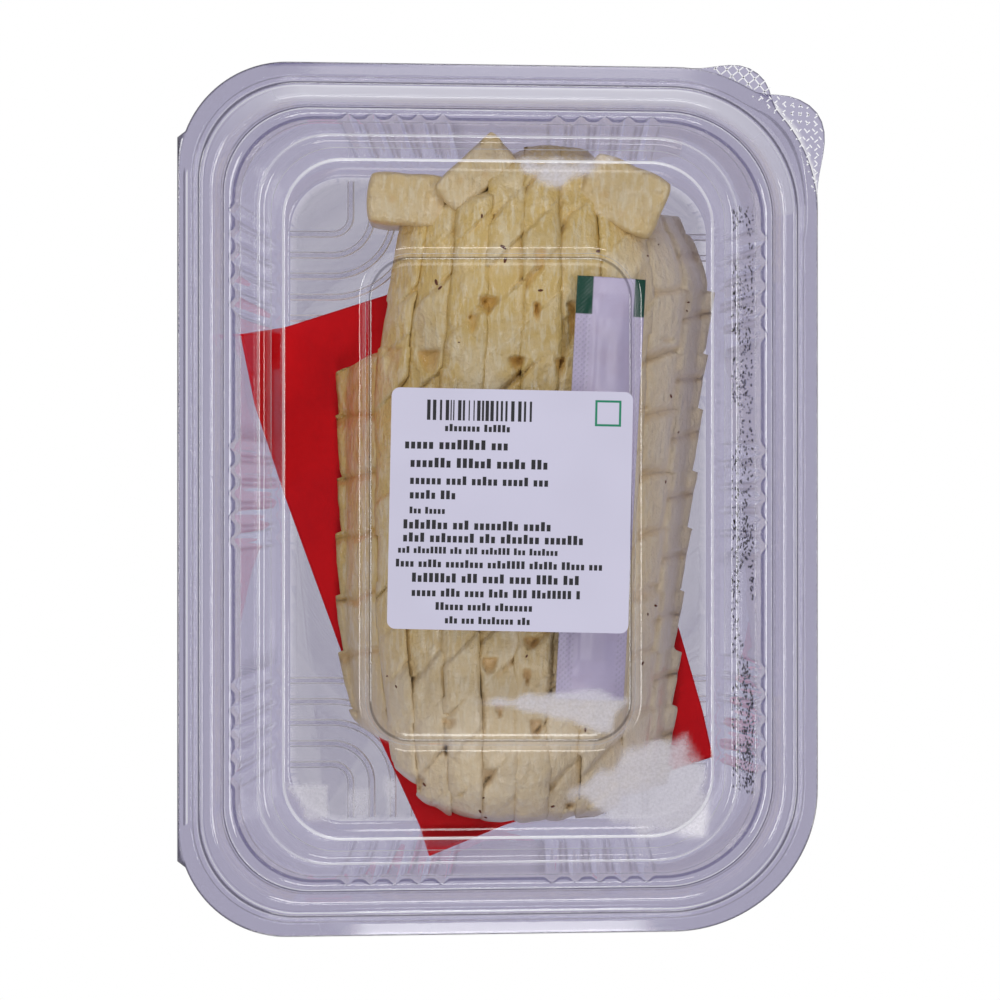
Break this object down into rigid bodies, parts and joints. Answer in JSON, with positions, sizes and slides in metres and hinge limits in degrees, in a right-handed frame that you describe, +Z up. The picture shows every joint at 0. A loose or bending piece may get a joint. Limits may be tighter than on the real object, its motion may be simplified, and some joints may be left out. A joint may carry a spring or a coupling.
{
  "type": "clear hinged pack of pineapple slices",
  "caption": "Shut clear clamshell pack holding a peeled half pineapple cut into lengthwise slices, on a red absorbent pad, with a blank-style label and a sachet.",
  "frame": {"origin": "centre of the underside of the whole pack, on the surface it stands on", "axes": "+X across the pack from the hinge to the free side, +Y along the pack's length, +Z up through the lid"},
  "size_m": [0.1358, 0.1834, 0.0558],
  "materials": {
    "clear_plastic": "clear thermoformed sheet, glossy, faintly lilac",
    "pineapple": "wet cut fruit flesh, pale yellow, fibrous",
    "pad_film": "red dimpled pad cover",
    "label_paper": "smooth white label",
    "sachet_film": "white film, crimped seams"
  },
  "bodies": {
    "tray": {"tray": "clear_plastic", "absorbent_pad": "pad_film", "slice_1": "pineapple", "slice_2": "pineapple", "slice_3": "pineapple", "slice_4": "pineapple", "slice_5": "pineapple", "slice_6": "pineapple", "slice_7": "pineapple", "slice_8": "pineapple", "slice_9": "pineapple", "slice_end_crosswise": "pineapple", "slice_end_leaning": "pineapple", "slice_end_block": "pineapple", "sachet": "sachet_film"},
    "lid": {"lid": "clear_plastic", "label": "label_paper"}
  },
  "joints": [
    {"name": "lid_hinge", "type": "hinge", "parent": "tray", "child": "lid", "pos_m": [-0.0681, 0, 0.03975], "axis": [0, -1, 0], "range_deg": [0, 180]}
  ]
}
